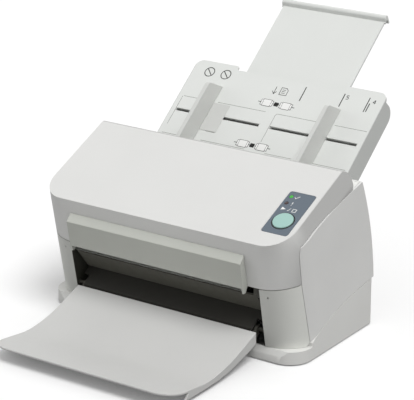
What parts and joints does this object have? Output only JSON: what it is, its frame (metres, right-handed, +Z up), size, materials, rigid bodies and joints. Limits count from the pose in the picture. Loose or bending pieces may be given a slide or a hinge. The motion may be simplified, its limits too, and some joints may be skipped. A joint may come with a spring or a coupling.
{
  "type": "sheet fed document scanner",
  "caption": "Desktop sheet fed document scanner: an inclined paper chute with side guides and a pull-out extension, a hinged top cover over the paper path, and a curved stacker tray in front.",
  "frame": {"origin": "on the desk, under the middle of the whole part's bounding box", "axes": "+X to the right of someone facing the front, -Y out of the front where the sheets come out, +Z up"},
  "size_m": [0.301, 0.4574, 0.2693],
  "materials": {
    "light_plastic": "fine matte",
    "tray_plastic": "fine matte",
    "dark_plastic": "matte",
    "black_rubber": "matte",
    "steel": "satin",
    "panel_blue": "satin",
    "button_green": "satin",
    "green_lens": "clear lens",
    "dark_lens": "clear lens",
    "scan_glass": "polished",
    "board_green": "solder mask"
  },
  "bodies": {
    "chassis": {"base_cover": "light_plastic", "foot_front_left": "black_rubber", "foot_front_right": "black_rubber", "foot_rear_left": "black_rubber", "foot_rear_right": "black_rubber", "side_panel_left": "light_plastic", "side_panel_right": "light_plastic", "front_pillar_left": "light_plastic", "front_pillar_right": "light_plastic", "rear_panel": "light_plastic", "shoulder_left": "light_plastic", "frame_plate_left": "steel", "frame_plate_right": "steel", "drive_motor": "steel", "main_board": "board_green", "usb_port": "steel", "power_jack": "dark_plastic", "exit_ramp": "dark_plastic", "lower_feed_guide": "dark_plastic", "lower_scan_housing": "dark_plastic", "lower_scan_glass": "scan_glass", "drive_belt": "black_rubber", "transport_belt": "black_rubber", "chute_plate": "light_plastic", "chute_back": "light_plastic", "cover_pin_left": "steel", "cover_pin_right": "steel"},
    "cover": {"cover_shell": "light_plastic", "exit_visor": "light_plastic", "operator_panel": "panel_blue", "ready_lamp": "green_lens", "error_lamp": "dark_lens", "upper_guide": "dark_plastic", "upper_scan_housing": "dark_plastic", "upper_scan_glass": "scan_glass", "separation_pad": "black_rubber"},
    "start_button": {"start_button": "button_green"},
    "release_latch": {"release_lever": "light_plastic", "latch_shaft": "steel", "latch_hook_left": "dark_plastic"},
    "power_rocker": {"power_rocker": "dark_plastic"},
    "stacker": {"stacker_tray": "tray_plastic", "tray_pivot_left": "dark_plastic", "tray_pivot_right": "dark_plastic"},
    "chute_extension": {"chute_extension": "light_plastic"},
    "guide_left": {"guide_left": "light_plastic"},
    "guide_right": {"guide_right": "light_plastic"},
    "guide_pinion": {"guide_pinion": "light_plastic"},
    "feed_roller": {"feed_shaft": "steel", "feed_tyre_left": "black_rubber", "feed_tyre_right": "black_rubber"},
    "exit_roller": {"exit_shaft": "steel", "exit_tyre_left": "black_rubber", "exit_tyre_right": "black_rubber"},
    "pick_roller": {"pick_shaft": "steel", "pick_tyre": "black_rubber"},
    "motor_pulley": {"motor_pulley": "dark_plastic"},
    "feed_idler": {"feed_idler": "dark_plastic"},
    "exit_idler": {"exit_idler": "dark_plastic"}
  },
  "joints": [
    {"name": "cover_hinge", "type": "hinge", "parent": "chassis", "child": "cover", "pos_m": [0, -0.0887, 0.07], "axis": [1, 0, 0], "range_deg": [0, 70]},
    {"name": "start_button_press", "type": "slide", "parent": "cover", "child": "start_button", "axis": [0, 0.4115, -0.9114], "range_m": [0, 0.0012], "stiffness_N_per_m": 300, "springref_m": -0.001},
    {"name": "release_lever_pull", "type": "hinge", "parent": "chassis", "child": "release_latch", "pos_m": [0, 0.03921, 0.09534], "axis": [-1, 0, 0], "range_deg": [0, 5], "stiffness_Nm_per_rad": 0.3, "springref_deg": -8.59},
    {"name": "power_rocker_tilt", "type": "hinge", "parent": "chassis", "child": "power_rocker", "pos_m": [0, 0.0583, 0.03], "axis": [1, 0, 0], "range_deg": [0, 14]},
    {"name": "stacker_hinge", "type": "hinge", "parent": "chassis", "child": "stacker", "pos_m": [0, -0.07948, 0.03071], "axis": [-1, 0, 0], "range_deg": [0, 30]},
    {"name": "extension_slide", "type": "slide", "parent": "chassis", "child": "chute_extension", "axis": [0, 0.7793, 0.6266], "range_m": [-0.088, 0]},
    {"name": "guide_left_slide", "type": "slide", "parent": "chassis", "child": "guide_left", "axis": [-1, 0, 0], "range_m": [-0.045, 0.033]},
    {"name": "guide_right_slide", "type": "slide", "parent": "chassis", "child": "guide_right", "axis": [1, 0, 0], "range_m": [-0.045, 0.033]},
    {"name": "guide_pinion_spin", "type": "hinge", "parent": "chassis", "child": "guide_pinion", "pos_m": [0, 0.08665, 0.17199], "axis": [0, -0.6266, 0.7793], "range_deg": [-369, 271]},
    {"name": "feed_roller_spin", "type": "hinge", "parent": "chassis", "child": "feed_roller", "pos_m": [0, -0.01435, 0.07897], "axis": [1, 0, 0], "continuous": true},
    {"name": "exit_roller_spin", "type": "hinge", "parent": "chassis", "child": "exit_roller", "pos_m": [0, -0.05332, 0.04764], "axis": [1, 0, 0], "continuous": true},
    {"name": "pick_roller_spin", "type": "hinge", "parent": "chassis", "child": "pick_roller", "pos_m": [0, 0.00903, 0.09777], "axis": [1, 0, 0], "continuous": true},
    {"name": "motor_pulley_spin", "type": "hinge", "parent": "chassis", "child": "motor_pulley", "pos_m": [0, 0.00826, 0.03967], "axis": [1, 0, 0], "continuous": true},
    {"name": "feed_idler_spin", "type": "hinge", "parent": "cover", "child": "feed_idler", "pos_m": [0, -0.024, 0.09097], "axis": [1, 0, 0], "continuous": true},
    {"name": "exit_idler_spin", "type": "hinge", "parent": "cover", "child": "exit_idler", "pos_m": [0, -0.06297, 0.05964], "axis": [1, 0, 0], "continuous": true}
  ],
  "couplings": [
    {"joint": "guide_right_slide", "follows": "guide_left_slide", "ratio": 1},
    {"joint": "guide_pinion_spin", "follows": "guide_left_slide", "rad_per_m": 142.86},
    {"joint": "exit_roller_spin", "follows": "feed_roller_spin", "ratio": 1},
    {"joint": "pick_roller_spin", "follows": "feed_roller_spin", "ratio": 1},
    {"joint": "motor_pulley_spin", "follows": "feed_roller_spin", "ratio": 1.5},
    {"joint": "feed_idler_spin", "follows": "feed_roller_spin", "ratio": -1.5},
    {"joint": "exit_idler_spin", "follows": "feed_roller_spin", "ratio": -1.5}
  ]
}
